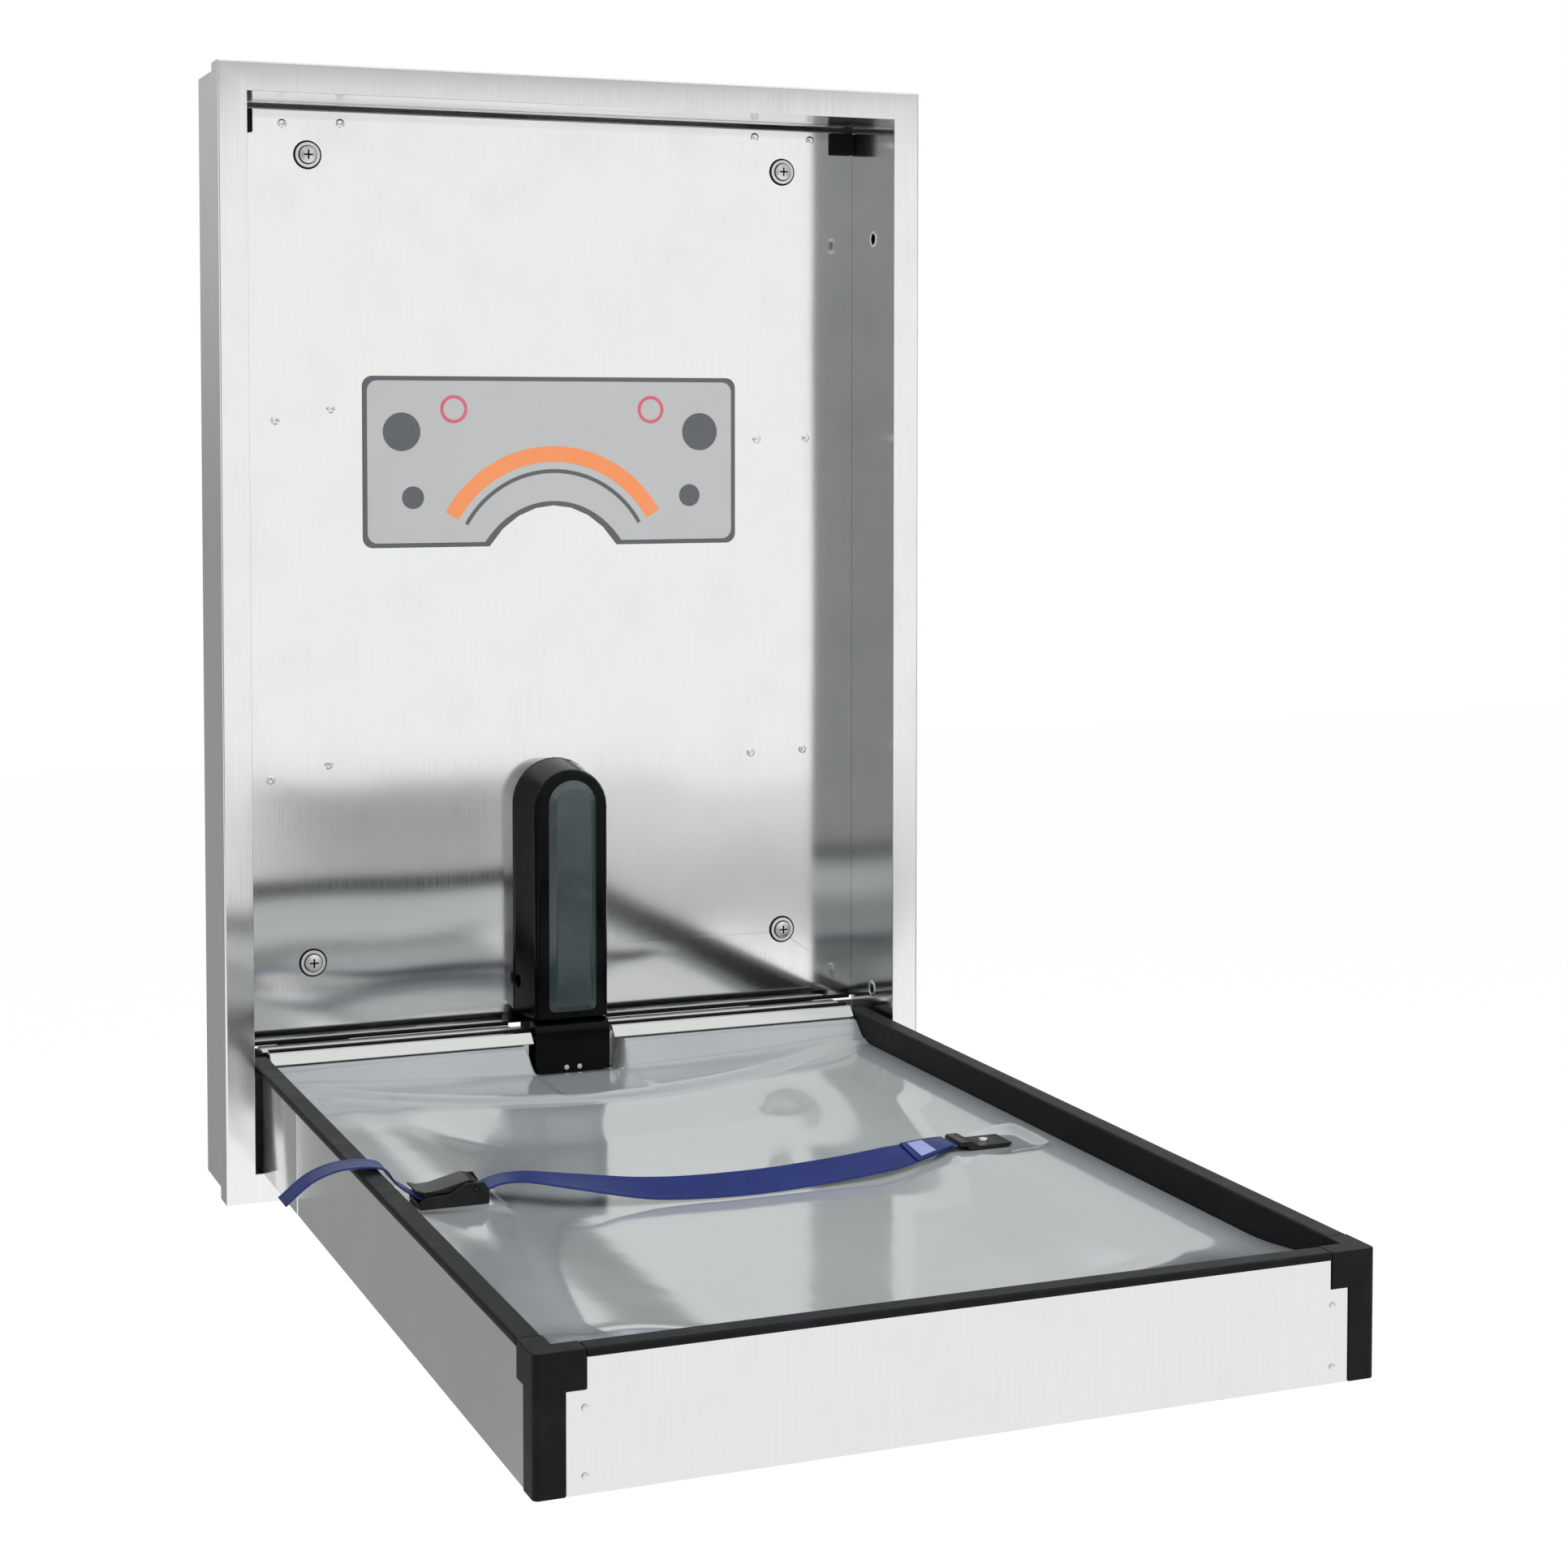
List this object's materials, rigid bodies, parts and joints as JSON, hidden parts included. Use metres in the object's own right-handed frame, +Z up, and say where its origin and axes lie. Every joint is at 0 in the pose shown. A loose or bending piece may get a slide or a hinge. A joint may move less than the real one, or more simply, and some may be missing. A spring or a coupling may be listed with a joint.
{
  "type": "baby changing station",
  "caption": "Wall-hung stainless changing station: shallow cabinet with a fold-down tray, moulded bed, black edge trim, webbing strap with buckle and covered damper.",
  "frame": {"origin": "middle of the cabinet's back, on the wall, at mid height of the face frame", "axes": "+X to the right as seen from the room, +Y into the wall, +Z up"},
  "size_m": [0.66, 0.8603, 0.95],
  "materials": {
    "stainless": "brushed",
    "plain_steel": "mill",
    "plated_fastener": "plated",
    "black_plastic": "satin",
    "slate_plastic": "gloss",
    "bed_plastic": "gloss",
    "webbing": "woven",
    "plate_film": "satin"
  },
  "bodies": {
    "cabinet": {"case_side_left": "stainless", "case_side_right": "stainless", "case_top": "stainless", "case_bottom": "stainless", "sleeve_side_left": "stainless", "sleeve_side_right": "stainless", "sleeve_top": "stainless", "sleeve_bottom": "stainless", "face_frame": "stainless", "back_panel": "stainless", "rear_channel_left": "plain_steel", "rear_channel_centre": "plain_steel", "rear_channel_right": "plain_steel", "mounting_screw_1": "plated_fastener", "mounting_screw_2": "plated_fastener", "mounting_screw_3": "plated_fastener", "mounting_screw_4": "plated_fastener", "guide_plate": "plate_film", "bumper_left": "black_plastic", "bumper_right": "black_plastic", "hinge_base": "plain_steel", "hinge_pin": "plain_steel", "damper_cylinder": "plain_steel", "damper_bracket": "plain_steel", "damper_top_pin": "plated_fastener", "damper_cover": "black_plastic", "cover_panel": "slate_plastic"},
    "tray": {"tray_hinge_leaf": "stainless", "damper_lever": "plain_steel", "damper_lever_pin": "plated_fastener", "hinge_block": "black_plastic", "block_screw_left": "plated_fastener", "block_screw_right": "plated_fastener", "tray_shell": "stainless", "front_rivet_left_1": "plated_fastener", "front_rivet_left_2": "plated_fastener", "front_rivet_right_1": "plated_fastener", "front_rivet_right_2": "plated_fastener", "tray_front_panel": "stainless", "bed_rail_rear": "plain_steel", "bed_rail_front": "plain_steel", "moulded_bed": "bed_plastic", "edge_trim_left": "black_plastic", "edge_trim_right": "black_plastic", "edge_trim_front": "black_plastic", "corner_cap_left": "black_plastic", "corner_cap_right": "black_plastic", "strap_webbing": "webbing", "strap_tail": "webbing", "strap_anchor": "black_plastic", "strap_anchor_screw": "plated_fastener", "buckle_base": "black_plastic", "buckle_screw": "plated_fastener", "buckle_pin": "plated_fastener"},
    "damper_rod": {"damper_rod": "plated_fastener", "damper_rod_eye": "plain_steel"},
    "buckle_lever": {"buckle_lever": "black_plastic"}
  },
  "joints": [
    {"name": "tray_fold", "type": "hinge", "parent": "cabinet", "child": "tray", "pos_m": [0, -0.047, -0.3704], "axis": [-1, 0, 0], "range_deg": [0, 90], "deforming": ["strap_tail"]},
    {"name": "damper_stroke", "type": "slide", "parent": "cabinet", "child": "damper_rod", "axis": [0, 0, -1], "range_m": [0, 0.0382]},
    {"name": "buckle_release", "type": "hinge", "parent": "tray", "child": "buckle_lever", "pos_m": [-0.2022, -0.434, -0.3816], "axis": [0, 1, 0], "range_deg": [0, 60]}
  ],
  "couplings": [
    {"joint": "damper_stroke", "follows": "tray_fold", "m_per_rad": 0.02419}
  ]
}
